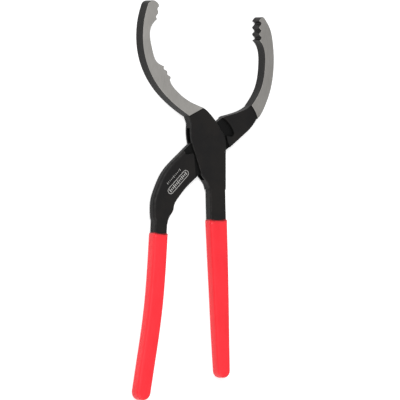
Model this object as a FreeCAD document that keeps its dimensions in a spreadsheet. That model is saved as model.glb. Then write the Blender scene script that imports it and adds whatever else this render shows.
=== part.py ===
import FreeCAD, Part
import Sketcher
import math
import os

# Oil filter pliers with a box joint, lying flat on their back.
# X runs across the jaws, Y from the pivot towards the jaws and Z up through
# the plates.  The origin is on the pivot axis, on the joint's rear face.  The jaws
# and the grips stand a little proud of both faces, and the tool rests on them.
# The slotted lever carries the left jaw, the two cheeks and the right handle.
# The tongue lever passes through its slot, from the left handle to the right jaw.

os.makedirs("parts", exist_ok=True)
doc = FreeCAD.newDocument("oil_filter_pliers")
sheet = doc.addObject("Spreadsheet::Sheet", "Dimensions")

DIMENSIONS = [
    ("jaw_reach", 143.0, "pivot to the tip of the slotted lever's jaw"),
    ("right_jaw_reach", 127.0, "pivot to the tip of the tongue lever's jaw"),
    ("slotted_handle_reach", 234.7, "pivot to the end of the slotted lever's grip"),
    ("tongue_handle_reach", 256.3, "pivot to the end of the tongue lever's grip"),
    ("body_thickness", 10.6, "thickness of the joint and of the handles"),
    ("jaw_rise", 1.3, "how far the jaws stand proud of the joint's faces"),
    ("tongue_thickness", 5.6, "thickness of the tongue in the slot"),
    ("side_clearance", 0.1, "gap between the tongue and each cheek"),
    ("edge_chamfer", 0.6, "chamfer of the plates' edges"),
    ("neck_radius", 3.0, "rounding of the tongue lever's neck"),
    ("cheek_half_width", 18.5, "pivot to the cheeks' right edge"),
    ("cheek_foot", 46.0, "pivot to the foot of the cheeks"),
    ("closing_angle", 14.0, "travel from rest to the closed stop"),
    ("opening_angle", 28.0, "travel from rest to the open stop"),
    ("stop_clearance", 0.4, "gap left between the levers at each stop"),
    ("pocket_radius", 30.0, "outer radius of the tongue lever's recesses"),
    ("pocket_gap", 2.0, "gap between the cheeks' round edge and the recess"),
    ("tongue_top", 12.5, "pivot axis to the tongue's upper edge"),
    ("tongue_bottom", 17.35, "pivot axis to the tongue's lower edge"),
    ("slot_head", 15.5, "pivot to the top of the slot at its left mouth"),
    ("rivet_radius", 6.0, "radius of the rivet's shank"),
    ("rivet_head_radius", 8.2, "radius of the rivet's flush heads"),
    ("head_floor", 0.2, "cheek left between a countersunk head and the slot"),
    ("rivet_clearance", 0.05, "radial running clearance in the tongue"),
    ("tooth_depth", 1.5, "depth of the slotted lever's jaw teeth"),
    ("right_tooth_pitch", 6.4, "pitch of the tongue lever's jaw teeth"),
    ("right_tooth_depth", 2.6, "depth of the tongue lever's jaw teeth"),
    ("core_radius", 1.5, "rounding of the handles' edges"),
    ("slotted_core_half_width", 9.0, "half width of the slotted lever's handle"),
    ("slotted_core_end_half_width", 6.0, "the same at its lower end"),
    ("tongue_core_half_width", 7.1, "half width of the tongue lever's handle"),
    ("grip_wall", 1.3, "thickness of the dipped grips' wall"),
    ("grip_fit", 0.02, "gap between a grip and its handle"),
    ("grip_radius", 3.0, "rounding of the grips' edges"),
    ("slotted_grip_top", 76.6, "pivot to the top of the slotted lever's grip"),
    ("tongue_grip_top", 90.0, "pivot to the top of the tongue lever's grip"),
]

for row, (alias, value, note) in enumerate(DIMENSIONS, start=1):
    sheet.set(f"A{row}", alias)
    sheet.set(f"B{row}", str(value))
    sheet.set(f"C{row}", note)
    sheet.setAlias(f"B{row}", alias)
doc.recompute()


def size(alias):
    """The number in the sheet's cell with this alias."""
    return float(sheet.get(alias))


def turned(point, degrees):
    """A point turned counter-clockwise about the pivot."""
    c = math.cos(math.radians(degrees))
    s = math.sin(math.radians(degrees))
    return (point[0] * c - point[1] * s, point[0] * s + point[1] * c)


def polar(radius, degrees):
    return turned((radius, 0.0), degrees)


def crossing(angle_1, distance_1, angle_2, distance_2):
    """Where two lines meet, each given by its normal's angle and its distance from the pivot."""
    c1, s1 = polar(1.0, angle_1)
    c2, s2 = polar(1.0, angle_2)
    det = c1 * s2 - s1 * c2
    return ((distance_1 * s2 - distance_2 * s1) / det, (c1 * distance_2 - c2 * distance_1) / det)


def stretched(points, tip, reach, fixed):
    """Points whose height above `fixed` is stretched so that `tip` lands on `reach`."""
    factor = (reach - fixed) / (tip - fixed)
    return [(x, fixed + (y - fixed) * factor) for x, y in points]


def teeth(first_tip, last_tip, count, depth):
    """Tips and roots of a row of rounded teeth; the roots lie to the left of the row."""
    dx = (last_tip[0] - first_tip[0]) / (count - 1)
    dy = (last_tip[1] - first_tip[1]) / (count - 1)
    pitch = math.hypot(dx, dy)
    points = []
    for i in range(count):
        tip = (first_tip[0] + dx * i, first_tip[1] + dy * i)
        points.append(tip)
        if i < count - 1:
            points.append((tip[0] + dx / 2 - depth * dy / pitch, tip[1] + dy / 2 + depth * dx / pitch))
    return points


class Outline:
    """A closed outline, drawn edge by edge from its starting point."""

    def __init__(self, start):
        self.start = FreeCAD.Vector(start[0], start[1], 0)
        self.last = self.start
        self.edges = []
        self.corners = []

    def add(self, edge, end):
        self.edges.append(edge)
        self.corners.append(end)
        self.last = end

    def line(self, *points):
        for x, y in points:
            end = FreeCAD.Vector(x, y, 0)
            self.add(Part.LineSegment(self.last, end), end)

    def arc(self, middle, end):
        middle = FreeCAD.Vector(middle[0], middle[1], 0)
        end = FreeCAD.Vector(end[0], end[1], 0)
        self.add(Part.Arc(self.last, middle, end), end)

    def curve(self, *points):
        vectors = [self.last] + [FreeCAD.Vector(x, y, 0) for x, y in points]
        spline = Part.BSplineCurve()
        spline.interpolate(vectors)
        self.add(spline, vectors[-1])

    def close(self):
        self.line((self.start.x, self.start.y))


def plane(body, role):
    return next(item for item in body.Origin.OriginFeatures if item.Role == role)


def end_at(sketch, number, corner):
    """Which end of an edge lies on the corner; a sketch's arcs all run counter-clockwise."""
    return 1 if (sketch.getPoint(number, 1) - corner).Length < 1e-6 else 2


def prism(name, outline, bottom, height):
    """A body whose pad rises from `bottom` by `height`, both given as expressions."""
    body = doc.addObject("PartDesign::Body", name)
    sketch = body.newObject("Sketcher::SketchObject", name + "_sketch")
    sketch.AttachmentSupport = [(plane(body, "XY_Plane"), "")]
    sketch.MapMode = "FlatFace"
    sketch.setExpression("AttachmentOffset.Base.z", bottom)
    sketch.addGeometry(outline.edges, False)
    for i, corner in enumerate(outline.corners):
        following = (i + 1) % len(outline.corners)
        sketch.addConstraint(Sketcher.Constraint(
            "Coincident", i, end_at(sketch, i, corner), following, end_at(sketch, following, corner)))
    pad = body.newObject("PartDesign::Pad", name + "_pad")
    pad.Profile = sketch
    pad.setExpression("Length", height)
    doc.recompute()
    return body


def level_edges(shape, open_ends):
    """Names of the edges round a prism's two faces, without those centred on an open end."""
    names = []
    for number, edge in enumerate(shape.Edges, start=1):
        middle = edge.BoundBox.Center
        at_end = any(math.hypot(middle.x - x, middle.y - y) < 0.01 for x, y in open_ends)
        if edge.BoundBox.ZLength < 1e-6 and not at_end:
            names.append(f"Edge{number}")
    return names


def rounded(body, radius, open_ends=()):
    """Fillet the edges round a prism's two faces."""
    pad = body.Tip
    fillet = body.newObject("PartDesign::Fillet", body.Name + "_round")
    fillet.Base = (pad, level_edges(pad.Shape, open_ends))
    fillet.setExpression("Radius", radius)
    doc.recompute()
    return body


def chamfered(body, width, open_ends=()):
    """Chamfer the edges round a prism's two faces."""
    pad = body.Tip
    chamfer = body.newObject("PartDesign::Chamfer", body.Name + "_chamfer")
    chamfer.Base = (pad, level_edges(pad.Shape, open_ends))
    chamfer.setExpression("Size", width)
    doc.recompute()
    return body


def cylinder(name, radius, bottom, height):
    item = doc.addObject("Part::Cylinder", name)
    item.setExpression("Radius", radius)
    item.setExpression("Height", height)
    item.setExpression("Placement.Base.z", bottom)
    return item


def cone(name, lower_radius, upper_radius, bottom, height):
    item = doc.addObject("Part::Cone", name)
    item.setExpression("Radius1", lower_radius)
    item.setExpression("Radius2", upper_radius)
    item.setExpression("Height", height)
    item.setExpression("Placement.Base.z", bottom)
    return item


def fused(name, *items):
    item = doc.addObject("Part::MultiFuse", name)
    item.Shapes = list(items)
    return item


def cut(name, base, tool):
    item = doc.addObject("Part::Cut", name)
    item.Base = base
    item.Tool = tool
    return item


def ribbon(stations, margin):
    """A handle's outline: two sides along a centre line, and a round lower end.

    Each station is (x, y, half width); the margin is added all round but at the top.
    """
    left = []
    right = []
    for i, (x, y, half_width) in enumerate(stations):
        before = stations[max(i - 1, 0)]
        after = stations[min(i + 1, len(stations) - 1)]
        dx = after[0] - before[0]
        dy = after[1] - before[1]
        length = math.hypot(dx, dy)
        reach = (half_width + margin) / length
        left.append((x + dy * reach, y - dx * reach))
        right.append((x - dy * reach, y + dx * reach))
    outline = Outline(right[0])
    outline.line(left[0])
    outline.curve(*left[1:])
    outline.arc((x + dx * reach, y + dy * reach), right[-1])
    outline.curve(*reversed(right[:-1]))
    return outline


def middle(start, end):
    return ((start[0] + end[0]) / 2, (start[1] + end[1]) / 2)


# ---------------------------------------------------------------- shared values
BODY = "Dimensions.body_thickness"
JAW_BOTTOM = "-Dimensions.jaw_rise"
JAW = "Dimensions.body_thickness + 2 * Dimensions.jaw_rise"
closing = size("closing_angle")
opening = size("opening_angle")
stop_gap = size("stop_clearance")
cheek = size("cheek_half_width")
foot = -size("cheek_foot")

# the tongue's edges, as the angles of their outward normals at rest
TONGUE_TOP_ANGLE = 124.7
TONGUE_BOTTOM_ANGLE = -52.1
tongue_top = size("tongue_top")
tongue_bottom = size("tongue_bottom")

# the cheeks' left edge: curved beside the pivot, then a straight flank down to the waist
CHEEK_LEFT = [(-22.6, 20.0), (-22.4, 5.0), (-17.6, -10.0)]
CHEEK_WAIST = (-10.2, -31.0)

# ---------------------------------------------------------------- slotted lever
JAW_ROOT = 40.0
JAW_TIP = 143.0
jaw = size("jaw_reach")


def left_jaw(points):
    return stretched(points, JAW_TIP, jaw, JAW_ROOT)


lower_teeth = teeth(*left_jaw([(-48.0, 67.0), (-55.0, 77.0)]), 3, size("tooth_depth"))
upper_teeth = teeth(*left_jaw([(-63.2, 124.0), (-60.6, 136.6)]), 3, size("tooth_depth"))

# where the jaw meets the joint, on its outer and its inner side
LEFT_HEEL = (-25.4, 27.2)
LEFT_CREST = (-8.2, 35.5)

left = Outline(LEFT_CREST)
left.curve((-13.6, 37.4), (-21.0, 40.1), (-30.8, 45.2), *left_jaw([(-40.8, 53.0), (-46.4, 59.2), (-48.2, 63.6)]))
left.curve(*lower_teeth)
left.curve(*left_jaw([(-59.4, 78.6), (-63.2, 81.0), (-68.4, 92.0), (-71.2, 104.0), (-70.8, 115.0),
                      (-67.4, 120.4)]), upper_teeth[0])
left.curve(*upper_teeth[1:])
left.curve(*left_jaw([(-62.4, 140.2), (-67.2, 142.7), (-71.4, 142.0), (-74.8, 137.6)]))
left.curve(*left_jaw([(-78.4, 126.0), (-80.4, 111.0), (-79.3, 93.0), (-73.3, 74.0), (-61.0, 55.2),
                      (-46.0, 41.0)]), LEFT_HEEL)
left.close()
slotted_jaw = chamfered(prism("slotted_jaw", left, JAW_BOTTOM, JAW), "Dimensions.edge_chamfer")

plate = Outline((cheek, foot))
plate.line((cheek, 0.0))
plate.arc(polar(cheek, 22.5), polar(cheek, 45.0))
plate.curve((5.4, 23.9), (-3.5, 32.9))
plate.arc((-5.6, 34.4), LEFT_CREST)
plate.line(LEFT_HEEL, CHEEK_LEFT[0])
plate.curve(*CHEEK_LEFT[1:])
plate.line(CHEEK_WAIST)
plate.curve((-5.0, -37.4), (-1.8, -42.4), (-1.2, foot))
plate.close()
slotted_plate = chamfered(
    prism("slotted_plate", plate, "0", BODY), "Dimensions.edge_chamfer", [middle(LEFT_HEEL, LEFT_CREST)])

# the slot clears the tongue over the whole travel
swing_room = 2 * stop_gap
top_closed = TONGUE_TOP_ANGLE + closing
bottom_closed = TONGUE_BOTTOM_ANGLE + closing
bottom_open = TONGUE_BOTTOM_ANGLE - opening
FAR = 60.0
head_corner = crossing(90.0, size("slot_head"), top_closed, tongue_top + swing_room)
right_top = crossing(0.0, FAR, top_closed, tongue_top + swing_room)
right_bottom = crossing(0.0, FAR, bottom_open, tongue_bottom + swing_room)
heel_corner = crossing(bottom_open, tongue_bottom + swing_room, bottom_closed, tongue_bottom + swing_room)
left_bottom = crossing(0.0, -FAR, bottom_closed, tongue_bottom + swing_room)
slot = Outline((-FAR, size("slot_head")))
slot.line(head_corner, right_top, right_bottom, heel_corner, left_bottom)
slot.close()
slot_tool = prism(
    "slot_tool", slot,
    "(Dimensions.body_thickness - Dimensions.tongue_thickness) / 2 - Dimensions.side_clearance",
    "Dimensions.tongue_thickness + 2 * Dimensions.side_clearance")

# ---------------------------------------------------------------- pivot rivet
HEAD_DEPTH = (
    "(Dimensions.body_thickness - Dimensions.tongue_thickness) / 2 - Dimensions.side_clearance"
    " - Dimensions.head_floor")
rivet_shank = cylinder("rivet_shank", "Dimensions.rivet_radius", "0", BODY)
rivet_front = cone(
    "rivet_front_head", "Dimensions.rivet_radius", "Dimensions.rivet_head_radius",
    "Dimensions.body_thickness - (" + HEAD_DEPTH + ")", HEAD_DEPTH)
rivet_rear = cone(
    "rivet_rear_head", "Dimensions.rivet_head_radius", "Dimensions.rivet_radius",
    "0", HEAD_DEPTH)
pivot_rivet = fused("pivot_rivet", rivet_shank, rivet_front, rivet_rear)

# ---------------------------------------------------------------- handles and grips
slotted_end = size("slotted_handle_reach")
tongue_end = size("tongue_handle_reach")
wide = size("slotted_core_half_width")
narrow = size("slotted_core_end_half_width")
even = size("tongue_core_half_width")
wall = size("grip_wall")


def handle(head, grip_top, end, shape):
    """Stations of a handle: (x, y, half width) along its centre line, from `head` down.

    `shape` gives x, the share of the way down the grip, and the half width.
    """
    last = end - wall - shape[-1][2]
    stations = [head]
    for x, share, half_width in shape:
        stations.append((x, -grip_top - (last - grip_top) * share, half_width))
    return stations


def tapered(share):
    return wide + (narrow - wide) * share


slotted_top = size("slotted_grip_top")
tongue_top_rim = size("tongue_grip_top")
slotted_handle = handle((9.0, foot + 6.0, wide), slotted_top, slotted_end, [
    (9.9, 0.0, wide), (11.8, 0.29, tapered(0.2)), (13.2, 0.52, tapered(0.42)),
    (14.5, 0.75, tapered(0.66)), (16.2, 1.0, narrow)])
tongue_handle = handle((-56.6, -60.0, even), tongue_top_rim, tongue_end, [
    (-58.0, 0.0, even), (-60.6, 0.24, even), (-63.6, 0.44, even), (-67.9, 0.63, even),
    (-73.2, 0.82, even), (-78.2, 1.0, even)])


def core(name, stations):
    body = prism(name, ribbon(stations, 0.0), "0", BODY)
    return rounded(body, "Dimensions.core_radius", [stations[0][:2]])


def grip(name, stations):
    """A dipped grip: a rounded sleeve closed at its lower end, hollow for the handle."""
    outside = prism(
        name + "_outside", ribbon(stations[1:], wall), "-Dimensions.grip_wall",
        "Dimensions.body_thickness + 2 * Dimensions.grip_wall")
    outside = rounded(outside, "Dimensions.grip_radius", [stations[1][:2]])
    inside = prism(
        name + "_inside", ribbon(stations, size("grip_fit")), "-Dimensions.grip_fit",
        "Dimensions.body_thickness + 2 * Dimensions.grip_fit")
    inside = rounded(inside, "Dimensions.core_radius", [stations[0][:2]])
    return cut(name, outside, inside)


slotted_core = core("slotted_core", slotted_handle)
slotted_grip = grip("slotted_lever_grip", slotted_handle)
tongue_core = core("tongue_core", tongue_handle)
tongue_grip = grip("tongue_lever_grip", tongue_handle)

slotted_body = fused("slotted_body", slotted_jaw, slotted_plate, slotted_core)
slotted_tools = fused("slotted_tools", slot_tool, pivot_rivet)
slotted_lever = cut("slotted_lever", slotted_body, slotted_tools)

# ---------------------------------------------------------------- tongue lever
RIGHT_ROOT = 36.0
RIGHT_TIP = 127.0
right_reach = size("right_jaw_reach")


def right_jaw(points):
    return stretched(points, RIGHT_TIP, right_reach, RIGHT_ROOT)


def on_edge(angle, distance, run):
    """A point on a straight edge, `run` along it from the foot of its normal."""
    foot_x, foot_y = polar(distance, angle)
    along_x, along_y = polar(run, angle + 90.0)
    return (foot_x + along_x, foot_y + along_y)


pitch = size("right_tooth_pitch")
top_tooth = right_jaw([(56.4, 122.8)])[0]
right_teeth = teeth(
    top_tooth, (top_tooth[0], top_tooth[1] - 3 * pitch), 4, size("right_tooth_depth"))

# where the jaw meets the joint, on its outer and its inner side
RIGHT_HEEL = (55.0, 24.8)
RIGHT_CREST = (47.6, 38.2)
RIGHT_HOLLOW = (52.4, 31.6)

right = Outline(RIGHT_HEEL)
right.curve((58.9, 29.0), (65.1, 40.0), *right_jaw([(69.6, 51.0), (72.9, 64.0), (74.6, 86.0), (73.2, 103.0),
                                                    (70.9, 113.2), (67.6, 119.8)]))
right.curve(*right_jaw([(64.8, 124.0), (60.9, 127.0), (58.4, 125.7)]), right_teeth[0])
right.curve(*right_teeth[1:])
right.curve(*right_jaw([(60.2, 99.8), (62.4, 95.0), (63.7, 87.0), (63.6, 79.0), (62.4, 67.6), (57.8, 53.0)]),
            (50.8, 42.2), RIGHT_CREST)
right.arc(RIGHT_HOLLOW, RIGHT_HEEL)
tongue_jaw = chamfered(prism("tongue_jaw", right, JAW_BOTTOM, JAW), "Dimensions.edge_chamfer")

# where the flat plate passes into the rounded neck
NECK_TOP = (-30.0, -6.9)
neck_heel = on_edge(TONGUE_BOTTOM_ANGLE, tongue_bottom, -32.5)
neck_joint = middle(NECK_TOP, neck_heel)

tongue = Outline(neck_heel)
tongue.line(on_edge(TONGUE_BOTTOM_ANGLE, tongue_bottom, 42.0))
tongue.arc((50.2, 18.2), RIGHT_HEEL)
tongue.arc(RIGHT_HOLLOW, RIGHT_CREST)
tongue.curve((38.0, 32.9), (27.0, 29.6), on_edge(TONGUE_TOP_ANGLE, tongue_top, -30.0))
tongue.line(on_edge(TONGUE_TOP_ANGLE, tongue_top, 18.0))
tongue.line(NECK_TOP)
tongue.close()
tongue_plate = chamfered(
    prism("tongue_plate", tongue, "0", BODY), "Dimensions.edge_chamfer",
    [neck_joint, middle(RIGHT_CREST, RIGHT_HEEL)])

neck = Outline(NECK_TOP)
neck.curve((-37.8, -13.6), (-46.8, -21.6), (-54.8, -31.2), (-61.4, -44.2), (-65.6, -56.0), (-66.4, -66.0),
           (-66.0, -74.0))
neck.arc((-60.4, -82.4), (-51.6, -86.0))
neck.curve((-49.4, -80.4), (-47.6, -74.6), (-44.6, -70.4), (-42.4, -66.8), (-41.7, -63.4), (-40.8, -60.4),
           (-38.3, -56.5), (-34.6, -52.0), (-28.4, -45.2), (-21.4, -38.9), neck_heel)
neck.close()
tongue_neck = rounded(prism("tongue_neck", neck, "0", BODY), "Dimensions.neck_radius", [neck_joint])
tongue_body = fused("tongue_body", tongue_jaw, tongue_plate, tongue_neck, tongue_core)

# the recesses that leave room for the cheeks, from the open stop round to the closed stop
inner = cheek + size("pocket_gap")
outer = size("pocket_radius")
flank_x = CHEEK_WAIST[0] - CHEEK_LEFT[-1][0]
flank_y = CHEEK_WAIST[1] - CHEEK_LEFT[-1][1]
flank_angle = math.degrees(math.atan2(-flank_x, flank_y)) % 360.0
flank_normal = polar(1.0, flank_angle)
flank_distance = CHEEK_WAIST[0] * flank_normal[0] + CHEEK_WAIST[1] * flank_normal[1]
open_line = cheek + stop_gap
closed_line = flank_distance + stop_gap
outside_bottom = tongue_bottom + 5.0
wedge_tip = max(inner, closed_line) + 2.2

pocket = Outline(crossing(opening, open_line, TONGUE_BOTTOM_ANGLE, outside_bottom))
slit_start = opening - math.degrees(math.acos(open_line / inner))
pocket.line(polar(inner, slit_start))
pocket.arc(polar(inner, (slit_start + 22.0) / 2), polar(inner, 22.0))
pocket.line(polar(inner + 4.6, 16.0))
pocket.arc(polar(outer - 1.2, 17.4), polar(outer, 23.0))
pocket.arc(polar(outer, 50.0), polar(outer, 80.0))
pocket.line(polar(outer + 1.0, 175.0))
pocket.arc(polar(outer + 1.0, 188.0), polar(outer + 1.0, 201.0))
pocket.line(polar(wedge_tip, 206.0))
shoulder_start = flank_angle - closing + math.degrees(math.acos(closed_line / wedge_tip))
pocket.line(polar(wedge_tip, shoulder_start))
pocket.line(crossing(flank_angle - closing, closed_line, TONGUE_BOTTOM_ANGLE, outside_bottom))
pocket.close()
DEPTH = "(Dimensions.body_thickness - Dimensions.tongue_thickness) / 2"
pocket_rear = prism("pocket_rear", pocket, "-2", "2 + " + DEPTH)
pocket_front = prism("pocket_front", pocket, "Dimensions.body_thickness - " + DEPTH, "2 + " + DEPTH)
tongue_bore = cylinder(
    "tongue_bore", "Dimensions.rivet_radius + Dimensions.rivet_clearance", "-1",
    "Dimensions.body_thickness + 2")
tongue_tools = fused("tongue_tools", pocket_rear, pocket_front, tongue_bore)
tongue_lever = cut("tongue_lever", tongue_body, tongue_tools)

# ---------------------------------------------------------------- check and write
NODES = {
    "slotted_lever": slotted_lever,
    "tongue_lever": tongue_lever,
    "pivot_rivet": pivot_rivet,
    "slotted_lever_grip": slotted_grip,
    "tongue_lever_grip": tongue_grip,
}
for label, item in NODES.items():
    item.Label = label

doc.recompute()
for item in doc.Objects:
    if "Invalid" in item.State or "Error" in item.State:
        raise RuntimeError(f"{item.Name} failed: {item.State}")
for label, item in NODES.items():
    shape = item.Shape
    if shape.isNull() or not shape.isValid() or len(shape.Solids) != 1:
        raise RuntimeError(f"{label} has no single valid solid")
    print(label, "volume", round(shape.Volume), "box", shape.BoundBox)
for label, item in NODES.items():
    item.Shape.exportStep(f"parts/{label}.step")
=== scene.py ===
import math

import bmesh
import bpy
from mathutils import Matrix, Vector


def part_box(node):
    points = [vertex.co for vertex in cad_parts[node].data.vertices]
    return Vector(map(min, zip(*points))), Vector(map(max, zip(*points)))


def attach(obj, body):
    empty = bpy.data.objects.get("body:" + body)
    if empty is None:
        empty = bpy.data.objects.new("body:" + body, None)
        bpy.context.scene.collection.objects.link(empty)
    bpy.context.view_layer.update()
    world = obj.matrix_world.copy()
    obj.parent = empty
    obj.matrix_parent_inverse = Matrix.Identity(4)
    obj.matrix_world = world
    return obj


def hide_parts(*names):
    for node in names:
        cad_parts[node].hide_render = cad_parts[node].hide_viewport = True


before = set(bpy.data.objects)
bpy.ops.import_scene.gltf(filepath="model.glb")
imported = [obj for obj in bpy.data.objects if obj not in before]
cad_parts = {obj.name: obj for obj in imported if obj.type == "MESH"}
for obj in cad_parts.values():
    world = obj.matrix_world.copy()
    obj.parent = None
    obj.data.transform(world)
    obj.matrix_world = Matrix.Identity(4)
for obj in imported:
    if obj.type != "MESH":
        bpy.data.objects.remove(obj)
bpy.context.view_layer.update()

# Everything is in metres.  MM turns the part's millimetres into metres.
MM = 0.001
BODY_TOP = 10.6 * MM
BODY_MIDDLE = 5.3 * MM
JAW_HALF = 6.6 * MM
# the floor lies just under the faces that the pliers rest on
FLOOR_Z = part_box("slotted_lever")[0].z - 0.05 * MM


# ------------------------------------------------------------------ node helpers
class Shader:
    """A material's node tree, with short calls for the nodes used below."""

    def __init__(self, name):
        self.material = bpy.data.materials.new(name)
        self.material.use_nodes = True
        self.tree = self.material.node_tree
        self.bsdf = self.tree.nodes["Principled BSDF"]
        coordinates = self.tree.nodes.new("ShaderNodeTexCoord")
        self.mm = self.vector("SCALE", coordinates.outputs["Object"], scale=1.0 / MM)

    def link(self, source, socket):
        if isinstance(source, bpy.types.NodeSocket):
            self.tree.links.new(source, socket)
        else:
            socket.default_value = source

    def node(self, kind, **settings):
        node = self.tree.nodes.new(kind)
        for key, value in settings.items():
            setattr(node, key, value)
        return node

    def vector(self, operation, a, b=None, scale=None):
        node = self.node("ShaderNodeVectorMath", operation=operation)
        self.link(a, node.inputs[0])
        if b is not None:
            self.link(b, node.inputs[1])
        if scale is not None:
            node.inputs["Scale"].default_value = scale
        return node.outputs["Value"] if operation in ("LENGTH", "DOT_PRODUCT") else node.outputs["Vector"]

    def math(self, operation, a, b=0.0):
        node = self.node("ShaderNodeMath", operation=operation)
        self.link(a, node.inputs[0])
        self.link(b, node.inputs[1])
        return node.outputs[0]

    def ramp(self, value, low, high, start=0.0, end=1.0):
        """A smooth step: `start` up to `low`, `end` from `high`."""
        node = self.node("ShaderNodeMapRange", interpolation_type="SMOOTHSTEP")
        self.link(value, node.inputs["Value"])
        for key, number in (("From Min", low), ("From Max", high), ("To Min", start), ("To Max", end)):
            node.inputs[key].default_value = number
        return node.outputs["Result"]

    def noise(self, scale, detail=3.0, stretch=(1.0, 1.0, 1.0), turn=0.0, roughness=0.5):
        """Noise with `scale` cells per millimetre, stretched and turned in the plates' plane."""
        mapping = self.node("ShaderNodeMapping")
        mapping.inputs["Scale"].default_value = stretch
        mapping.inputs["Rotation"].default_value = (0.0, 0.0, turn)
        self.link(self.mm, mapping.inputs["Vector"])
        node = self.node("ShaderNodeTexNoise")
        self.link(mapping.outputs["Vector"], node.inputs["Vector"])
        node.inputs["Scale"].default_value = scale
        node.inputs["Detail"].default_value = detail
        node.inputs["Roughness"].default_value = roughness
        return node.outputs["Fac"]

    def mix(self, factor, a, b):
        node = self.node("ShaderNodeMix", data_type="RGBA")
        self.link(factor, node.inputs["Factor"])
        self.link(a, node.inputs[6])
        self.link(b, node.inputs[7])
        return node.outputs[2]

    def blend(self, factor, a, b):
        node = self.node("ShaderNodeMix", data_type="FLOAT")
        self.link(factor, node.inputs["Factor"])
        self.link(a, node.inputs[2])
        self.link(b, node.inputs[3])
        return node.outputs[0]

    def axis(self, source, name):
        node = self.node("ShaderNodeSeparateXYZ")
        self.link(source, node.inputs[0])
        return node.outputs[name]

    def bump(self, height, distance, strength):
        node = self.node("ShaderNodeBump")
        self.link(height, node.inputs["Height"])
        node.inputs["Distance"].default_value = distance
        node.inputs["Strength"].default_value = strength
        return node.outputs["Normal"]

    def set(self, **values):
        for key, value in values.items():
            self.link(value, self.bsdf.inputs[key.replace("_", " ")])


# ------------------------------------------------------------------ steel
BLACK = (0.0075, 0.0072, 0.0073, 1.0)
BLACK_WARM = (0.0108, 0.0097, 0.0090, 1.0)
# painted shade: near black for the joint's recessed faces
RECESS_SHADE = (0.0012, 0.0012, 0.0012, 1.0)
WORN = (0.038, 0.036, 0.035, 1.0)
GROUND_LIGHT = (0.335, 0.325, 0.310, 1.0)
GROUND_DARK = (0.255, 0.245, 0.230, 1.0)
GROUND_BRIGHT = (0.400, 0.388, 0.370, 1.0)
SEAM_BLACK = (0.005, 0.005, 0.005, 1.0)
BLACK_SHINE = 0.11
RELIEF_DEPTH = 0.10 * MM
# the rivet heads' edge, and the height over the plates' middle up to which a face is a recess, in mm
SEAM_RADIUS = (7.85, 8.1)
RECESS_HEIGHT = (3.0, 3.4)
# the heights over the middle between which black gives way to ground steel, in mm
GROUND_HEIGHT = (JAW_HALF / MM - 0.35, JAW_HALF / MM - 0.1)
# radians of the rivet heads' turned rings per mm of radius
RING_RATE = 9.0


def toned(colour, tone):
    """A colour made darker or lighter all over."""
    return tuple(channel * tone for channel in colour[:3]) + (1.0,)


def black_finish(s):
    """The black scale that all the steel has: its colour and its grain."""
    patches = s.noise(0.06, 3.0)
    grain = s.noise(0.9, 4.0, roughness=0.6)
    colour = s.mix(s.ramp(patches, 0.35, 0.7), BLACK, BLACK_WARM)
    return s.mix(s.ramp(grain, 0.62, 0.8, 0.0, 0.35), colour, WORN), grain


def forged_steel(name, grinding_turn, tone):
    """Black-finished forged steel, with bright ground faces on both sides of the jaws."""
    s = Shader(name)
    height = s.math("ABSOLUTE", s.math("SUBTRACT", s.axis(s.mm, "Z"), BODY_MIDDLE / MM))
    normal_z = s.math("ABSOLUTE", s.axis(s.node("ShaderNodeTexCoord").outputs["Normal"], "Z"))

    black, grain = black_finish(s)
    fine = s.noise(5.0, 2.0)

    # the chamfered edges are rubbed a little lighter, unevenly
    slope = s.math("MULTIPLY", s.ramp(normal_z, 0.35, 0.55), s.ramp(normal_z, 0.85, 0.95, 1.0, 0.0))
    rubbed = s.math("MULTIPLY", slope, s.ramp(s.noise(0.22, 3.0), 0.35, 0.65, 0.10, 0.45))
    black = s.mix(rubbed, black, WORN)

    # painted shade: the recessed faces of the joint are painted near black where shade falls in them
    recess = s.math(
        "MULTIPLY", s.ramp(height, *RECESS_HEIGHT, 1.0, 0.0), s.ramp(normal_z, 0.6, 0.8))
    black = s.mix(recess, black, RECESS_SHADE)
    black_rough = s.blend(recess, s.ramp(grain, 0.2, 0.8, 0.40, 0.54), 0.62)
    relief = s.math("ADD", s.math("MULTIPLY", grain, 0.7), s.math("MULTIPLY", fine, 0.3))

    # the jaws' proud faces are ground bright, with fine lines along the wheel's path
    lines = s.noise(1.0, 5.0, (5.5, 0.10, 1.0), grinding_turn, 0.65)
    broad = s.noise(0.035, 2.0)
    steel = s.mix(s.ramp(lines, 0.3, 0.7), toned(GROUND_DARK, tone), toned(GROUND_LIGHT, tone))
    steel = s.mix(s.ramp(broad, 0.3, 0.75, 0.0, 0.35), steel, toned(GROUND_BRIGHT, tone))
    ground_face = s.math("MULTIPLY", s.ramp(height, *GROUND_HEIGHT), s.ramp(normal_z, 0.5, 0.72))
    s.set(
        Base_Color=s.mix(ground_face, black, steel),
        Metallic=ground_face,
        Roughness=s.blend(ground_face, black_rough, s.ramp(lines, 0.25, 0.75, 0.36, 0.50)),
        Specular_IOR_Level=BLACK_SHINE,
        Normal=s.bump(s.blend(ground_face, relief, lines), RELIEF_DEPTH, 0.5))
    return s.material


def rivet_steel():
    """The same black steel, with the faint turned rings and the seam of a pressed rivet head."""
    s = Shader("rivet_black")
    radius = s.vector("LENGTH", s.vector("MULTIPLY", s.mm, (1.0, 1.0, 0.0)))
    colour, grain = black_finish(s)
    rings = s.math("SINE", s.math("MULTIPLY", radius, RING_RATE))
    seam = s.ramp(radius, *SEAM_RADIUS)
    colour = s.mix(seam, colour, SEAM_BLACK)
    relief = s.math("ADD", s.math("MULTIPLY", rings, 0.08), s.math("MULTIPLY", grain, 0.7))
    relief = s.math("SUBTRACT", relief, s.math("MULTIPLY", seam, 1.5))
    s.set(
        Base_Color=colour,
        Roughness=s.ramp(grain, 0.2, 0.8, 0.38, 0.52),
        Specular_IOR_Level=BLACK_SHINE,
        Normal=s.bump(relief, RELIEF_DEPTH, 0.55))
    return s.material


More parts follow.
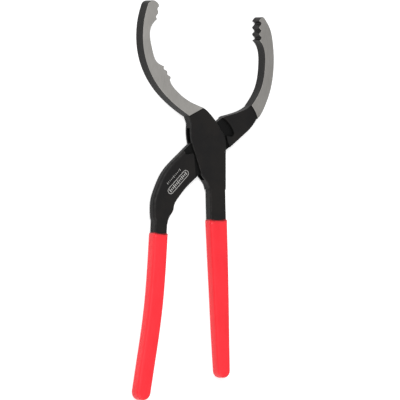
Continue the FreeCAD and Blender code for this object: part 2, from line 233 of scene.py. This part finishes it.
# ------------------------------------------------------------------ vinyl and ink
RED = (0.86, 0.025, 0.037, 1.0)
RED_DEEP = (0.81, 0.020, 0.031, 1.0)
RED_THIN = (0.20, 0.004, 0.005, 1.0)
RED_THIN_LIGHT = (0.34, 0.007, 0.009, 1.0)
INK = (0.43, 0.42, 0.405, 1.0)
INK_WORN = (0.20, 0.195, 0.185, 1.0)


def red_vinyl(name, thin=False):
    """Dipped vinyl: even red, softly glossy, with the faint waves of a dip; darker where it is thin."""
    s = Shader(name)
    waves = s.noise(0.09, 2.0, (1.0, 0.35, 1.0))
    skin = s.noise(1.6, 3.0, roughness=0.6)
    if thin:
        colour = s.mix(s.ramp(skin, 0.3, 0.8), RED_THIN, RED_THIN_LIGHT)
    else:
        colour = s.mix(s.ramp(waves, 0.3, 0.75), RED, RED_DEEP)
    relief = s.math("ADD", waves, s.math("MULTIPLY", skin, 0.06))
    s.set(
        Base_Color=colour,
        Roughness=s.ramp(skin, 0.2, 0.8, 0.40, 0.50),
        Specular_IOR_Level=0.26,
        Normal=s.bump(relief, 0.6 * MM, 0.5),
        Subsurface_Weight=0.05,
        Subsurface_Radius=(0.004, 0.001, 0.001),
        Subsurface_Scale=0.5,
        Coat_Weight=0.04,
        Coat_Roughness=0.12)
    return s.material


def print_ink():
    """Pale grey pad-printed ink, a little worn."""
    s = Shader("print_ink")
    wear = s.noise(2.2, 4.0, roughness=0.7)
    s.set(
        Base_Color=s.mix(s.ramp(wear, 0.55, 0.85), INK, INK_WORN),
        Roughness=s.ramp(wear, 0.2, 0.8, 0.5, 0.65),
        Normal=s.bump(wear, 0.03 * MM, 0.5))
    return s.material


# ------------------------------------------------------------------ CAD nodes
def paint(node, material):
    """Give every slot of a CAD node one material."""
    for material_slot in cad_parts[node].material_slots:
        material_slot.material = material


paint("slotted_lever", forged_steel("slotted_lever_steel", math.radians(38.0), 0.97))
paint("tongue_lever", forged_steel("tongue_lever_steel", math.radians(-20.0), 0.80))
paint("pivot_rivet", rivet_steel())
vinyl = red_vinyl("red_vinyl_dip")
paint("slotted_lever_grip", vinyl)
paint("tongue_lever_grip", vinyl)


# ------------------------------------------------------------------ mesh helpers
def mesh_object(name, build, material, body):
    mesh = bpy.data.meshes.new(name)
    bm = bmesh.new()
    build(bm)
    bmesh.ops.recalc_face_normals(bm, faces=bm.faces)
    bm.to_mesh(mesh)
    bm.free()
    mesh.shade_smooth()
    mesh.materials.append(material)
    piece = bpy.data.objects.new(name, mesh)
    bpy.context.scene.collection.objects.link(piece)
    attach(piece, body)
    return piece


def loft(bm, rings, closed=True):
    """Skin a list of closed rings of points; `closed` joins the last ring to the first."""
    loops = [[bm.verts.new(point) for point in ring] for ring in rings]
    count = len(loops)
    for i in range(count if closed else count - 1):
        lower, upper = loops[i], loops[(i + 1) % count]
        for j in range(len(lower)):
            k = (j + 1) % len(lower)
            bm.faces.new((lower[j], lower[k], upper[k], upper[j]))


# ------------------------------------------------------------------ dipped grips
# these are in millimetres; a shape is the exponent of a section's rounded outline
WALL = 1.3
INSET = 0.02
LEAST_WALL = 0.3
GRIP_HALF = JAW_HALF / MM - INSET / 2
GRIP_SHAPE = 5.0
RIM_SAG = 1.6
SAG_LENGTH = 30.0
CORE_HALF = BODY_MIDDLE / MM
CORE_SHAPE = 9.0
AROUND = 40
# stops the last ring of a round end from shrinking to a point
NEARLY_ALL = 0.99999

# stations of each handle's centre line, from the grip's top down: x, y, half width of the steel
HANDLES = {
    "slotted": ("slotted_side", (9.0, -40.0), [
        (9.9, -76.6, 9.0), (11.8, -120.33, 8.4), (13.2, -155.02, 7.74), (14.5, -189.70, 7.02),
        (16.2, -227.4, 6.0)]),
    "tongue": ("tongue_side", (-56.6, -60.0), [
        (-58.0, -90.0, 7.1), (-60.6, -127.90, 7.1), (-63.6, -159.48, 7.1), (-67.9, -189.48, 7.1),
        (-73.2, -219.48, 7.1), (-78.2, -247.9, 7.1)]),
}


def through(points, steps):
    """A smooth line through points of any dimension (Catmull-Rom, with straight ends)."""
    padded = [points[0]] + list(points) + [points[-1]]
    line = []
    for i in range(1, len(padded) - 2):
        before, start, end, after = padded[i - 1:i + 3]
        for k in range(steps):
            t = k / steps
            line.append(tuple(
                0.5 * (2 * b + (c - a) * t + (2 * a - 5 * b + 4 * c - d) * t * t
                       + (3 * b - a - 3 * c + d) * t ** 3)
                for a, b, c, d in zip(before, start, end, after)))
    line.append(tuple(points[-1]))
    return line


def power(value, exponent):
    """A power that keeps the sign."""
    return math.copysign(abs(value) ** exponent, value)


def sag(side, half_width):
    """How far the rim's edge dips in the middle of a face."""
    return RIM_SAG * (1.0 - (side / half_width) ** 2)


def round_the_handle(centre, along, half_width, past=0.0, dip=0.0):
    """A grip's crowned section.

    `past` is how far it lies beyond the centre of the round end, and `dip` is the share of
    the rim's dip that it takes on.
    """
    across = Vector((along.y, -along.x, 0.0))
    reach = math.sqrt(max(half_width ** 2 - past ** 2, 0.0))
    points = []
    for i in range(AROUND):
        angle = 2.0 * math.pi * (i + 0.5) / AROUND
        side = reach * power(math.cos(angle), 2.0 / GRIP_SHAPE)
        share = min(math.hypot(side, past) / half_width, 1.0)
        height = GRIP_HALF * (1.0 - share ** GRIP_SHAPE) ** (1.0 / GRIP_SHAPE)
        height = math.copysign(height, math.sin(angle))
        point = centre + across * side - along * (dip * sag(side, half_width))
        points.append((point + Vector((0.0, 0.0, height))) * MM)
    return points


def centre_of(x, y):
    return Vector((x, y, BODY_MIDDLE / MM))


def grip_builder(above, stations):
    def build(bm):
        line = through(stations, 8)
        rings = []
        for i, (x, y, half_width) in enumerate(line):
            upper = line[i - 1] if i else above
            lower = line[min(i + 1, len(line) - 1)]
            along = Vector((upper[0] - lower[0], upper[1] - lower[1], 0.0)).normalized()
            dip = max(0.0, 1.0 - (line[0][1] - y) / SAG_LENGTH)
            outside = half_width + WALL - INSET
            rings.append(round_the_handle(centre_of(x, y), along, outside, 0.0, dip))
        # the round end, a ring every six degrees
        for degrees in range(6, 91, 6):
            past = outside * math.sin(math.radians(degrees))
            rings.append(round_the_handle(
                centre_of(x, y) - along * past, along, outside, past * NEARLY_ALL))
        loft(bm, rings, closed=False)
        bm.verts.ensure_lookup_table()
        bm.faces.new([bm.verts[i] for i in range(AROUND)])
        bmesh.ops.holes_fill(bm, edges=[edge for edge in bm.edges if edge.is_boundary])
    return build


# the vinyl thins out up the handle in a small hollow curve: shift up, share of the wall
LIP_PROFILE = [(-0.6, 0.94), (0.0, 0.98), (0.25, 0.86), (0.5, 0.55), (0.85, 0.28), (1.3, 0.10),
               (1.6, -0.25), (0.0, -0.5), (-0.6, -0.5)]


def polar_reach(angle, half_width, half_height, shape):
    """The distance from a rounded section's centre to its outline."""
    c = abs(math.cos(angle)) / half_width
    s = abs(math.sin(angle)) / half_height
    return (c ** shape + s ** shape) ** (-1.0 / shape)


def lip_builder(above, stations):
    x, y, half_width = stations[0]
    along = Vector((above[0] - x, above[1] - y, 0.0)).normalized()
    across = Vector((along.y, -along.x, 0.0))

    def build(bm):
        rings = []
        for shift, share in LIP_PROFILE:
            ring = []
            for i in range(2 * AROUND):
                angle = math.pi * (i + 0.5) / AROUND
                inner = polar_reach(angle, half_width, CORE_HALF, CORE_SHAPE)
                outer = polar_reach(angle, half_width + WALL, GRIP_HALF, GRIP_SHAPE)
                reach = inner + (max(outer, inner + LEAST_WALL) - inner) * share
                side = reach * math.cos(angle)
                rise = shift - sag(side, half_width + WALL)
                point = centre_of(x, y) + along * rise + across * side
                ring.append((point + Vector((0.0, 0.0, reach * math.sin(angle)))) * MM)
            rings.append(ring)
        loft(bm, rings)
    return build


thin_vinyl = red_vinyl("red_vinyl_lip", thin=True)
for side, (body, above, stations) in HANDLES.items():
    grip = mesh_object(side + "_dipped_grip", grip_builder(above, stations), vinyl, body)
    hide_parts(side + "_lever_grip")
    mesh_object(side + "_grip_lip", lip_builder(above, stations), thin_vinyl, body)


# ------------------------------------------------------------------ plain scale on the neck
# in millimetres: how deep the ink is sunk, and how far it stands up
INK_SUNK = 0.02
INK_THICK = 0.06
INK_THIN = 0.05
BAR_CENTRE = Vector((-38.0, -38.6))
BAR_DIRECTION = Vector((0.72, 0.70)).normalized()
BAR_SIDE = Vector((-BAR_DIRECTION.y, BAR_DIRECTION.x))
MARKS_SHIFT = 7.6


def stadium(centre, direction, length, width, steps=10):
    """The outline of a bar with round ends, in millimetres in the plates' plane."""
    along = Vector(direction).normalized()
    across = Vector((-along.y, along.x))
    points = []
    for end in (1, -1):
        for i in range(steps + 1):
            angle = math.radians(-90.0 + 180.0 * i / steps)
            offset = along * (end * ((length - width) / 2 + width / 2 * math.cos(angle)))
            points.append(Vector(centre) + offset + across * (end * width / 2 * math.sin(angle)))
    return points


def printed(outlines, thickness):
    """Thin prisms standing on the lever's front face."""
    def build(bm):
        for outline in outlines:
            low = [bm.verts.new((p.x * MM, p.y * MM, BODY_TOP - INK_SUNK * MM)) for p in outline]
            high = [bm.verts.new((p.x * MM, p.y * MM, BODY_TOP + thickness * MM)) for p in outline]
            bm.faces.new(high)
            bm.faces.new(list(reversed(low)))
            for i in range(len(outline)):
                k = (i + 1) % len(outline)
                bm.faces.new((low[i], low[k], high[k], high[i]))
    return build


def printed_frame(outer, inner, thickness):
    """A thin raised line between two outlines with the same number of points."""
    def build(bm):
        low = BODY_TOP - INK_SUNK * MM
        high = BODY_TOP + thickness * MM
        loft(bm, [[Vector((p.x * MM, p.y * MM, z)) for p in outline]
                  for outline, z in ((outer, low), (outer, high), (inner, high), (inner, low))])
    return build


def tick_row(centre, count, gap, every, long_tick, short_tick, width):
    """Ticks side by side along the bar; one in `every` is long."""
    ticks = []
    for i in range(count):
        run = (i - (count - 1) / 2) * gap
        length = long_tick if i % every == 0 else short_tick
        ticks.append(stadium(centre + BAR_DIRECTION * run, BAR_SIDE, length, width, 4))
    return ticks


frame_line = printed_frame(
    stadium(BAR_CENTRE, BAR_DIRECTION, length=31.5, width=6.8),
    stadium(BAR_CENTRE, BAR_DIRECTION, length=30.4, width=5.7), INK_THICK)
ticks = tick_row(
    BAR_CENTRE, count=13, gap=2.1, every=3, long_tick=4.0, short_tick=2.6, width=1.0)
marks = tick_row(
    BAR_CENTRE + BAR_SIDE * MARKS_SHIFT, count=11, gap=2.0, every=5, long_tick=2.4, short_tick=1.4,
    width=0.6)
ink = print_ink()
mesh_object("scale_frame", frame_line, ink, "tongue_side")
mesh_object("scale_ticks", printed(ticks, INK_THICK), ink, "tongue_side")
mesh_object("scale_marks", printed(marks, INK_THIN), ink, "tongue_side")


# ------------------------------------------------------------------ floor, world, light and camera
WHITE = (1.0, 1.0, 1.0, 1.0)
PAPER = (0.86, 0.86, 0.86, 1.0)
PAPER_LIGHT = (0.88, 0.88, 0.88, 1.0)
FLOOR_GLOW = 0.40
ROOM_LIGHT = 0.52


def stage_floor():
    s = Shader("floor_paper")
    paper = s.noise(0.5, 2.0)
    path = s.node("ShaderNodeLightPath")
    seen = s.math("MAXIMUM", path.outputs["Is Camera Ray"], path.outputs["Is Glossy Ray"])
    s.set(
        Base_Color=s.mix(s.ramp(paper, 0.3, 0.7), PAPER, PAPER_LIGHT),
        Roughness=0.9,
        Specular_IOR_Level=0.1,
        Emission_Color=WHITE,
        Emission_Strength=s.math("MULTIPLY", seen, FLOOR_GLOW))
    mesh = bpy.data.meshes.new("floor")
    bm = bmesh.new()
    bmesh.ops.create_grid(bm, x_segments=8, y_segments=8, size=6.0)
    bm.to_mesh(mesh)
    bm.free()
    mesh.materials.append(s.material)
    floor = bpy.data.objects.new("floor", mesh)
    floor.location.z = FLOOR_Z
    bpy.context.scene.collection.objects.link(floor)


stage_floor()

scene = bpy.context.scene
world = bpy.data.worlds.new("studio")
scene.world = world
world.use_nodes = True
nodes = world.node_tree.nodes
links = world.node_tree.links
background = nodes["Background"]
background.inputs["Color"].default_value = WHITE
path = nodes.new("ShaderNodeLightPath")
strength = nodes.new("ShaderNodeMapRange")
strength.inputs["To Min"].default_value = ROOM_LIGHT
strength.inputs["To Max"].default_value = 1.0
seen = nodes.new("ShaderNodeMath")
seen.operation = "MAXIMUM"
links.new(path.outputs["Is Camera Ray"], seen.inputs[0])
links.new(path.outputs["Is Glossy Ray"], seen.inputs[1])
links.new(seen.outputs[0], strength.inputs["Value"])
links.new(strength.outputs["Result"], background.inputs["Strength"])


def soft_box(name, location, side, watts):
    """A square area light, turned to the middle of the pliers."""
    light = bpy.data.lights.new(name, "AREA")
    light.shape = "RECTANGLE"
    light.size = side
    light.size_y = side
    light.energy = watts
    lamp = bpy.data.objects.new(name, light)
    lamp.location = location
    lamp.rotation_euler = (LIT_POINT - lamp.location).to_track_quat("-Z", "Y").to_euler()
    scene.collection.objects.link(lamp)


LIT_POINT = Vector((0.0, -0.05, 0.0))
soft_box("key_upper_left", (-0.9, 1.0, 1.9), side=1.2, watts=34.0)
soft_box("fill_low", (-0.5, -1.6, 1.4), side=1.4, watts=16.0)

# the camera looks from the front, turned to the left
VIEW_TURN = math.radians(32.0)
VIEW_DISTANCE = 12.0
VIEW_WIDTH = 0.4
SENSOR = 36.0
AIM = Vector((-12.4, -56.5, 10.6)) * MM
toward = Vector((-math.sin(VIEW_TURN), 0.0, math.cos(VIEW_TURN)))
camera_data = bpy.data.cameras.new("camera")
camera_data.sensor_width = SENSOR
camera_data.lens = SENSOR * VIEW_DISTANCE / VIEW_WIDTH
camera_data.clip_end = 100.0
camera = bpy.data.objects.new("camera", camera_data)
camera.location = AIM + toward * VIEW_DISTANCE
camera.rotation_euler = (0.0, -VIEW_TURN, 0.0)
scene.collection.objects.link(camera)
scene.camera = camera
scene.view_settings.view_transform = "Standard"
